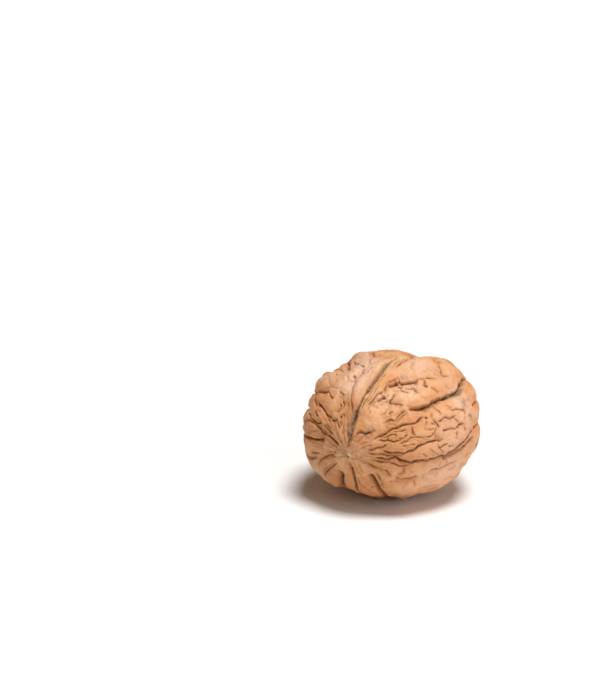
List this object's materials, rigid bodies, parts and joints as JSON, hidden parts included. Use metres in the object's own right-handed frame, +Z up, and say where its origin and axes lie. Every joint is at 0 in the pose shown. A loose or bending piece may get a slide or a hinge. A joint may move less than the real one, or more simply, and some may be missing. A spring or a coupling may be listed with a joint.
{
  "type": "walnut",
  "caption": "Whole walnut in its closed, deeply creased shell, lying on its seam.",
  "frame": {"origin": "centre of the small flat spot that the nut rests on", "axes": "+Z up out of the flat spot, through the seam's two lips; -Y toward the pointed tip, +Y toward the stem scar; +X toward the right cheek seen from the tip"},
  "size_m": [0.0392, 0.0419, 0.0319],
  "materials": {
    "shell": "dry, matt, slightly waxy on the high places"
  },
  "bodies": {
    "root": {"walnut": "shell"}
  },
  "joints": []
}
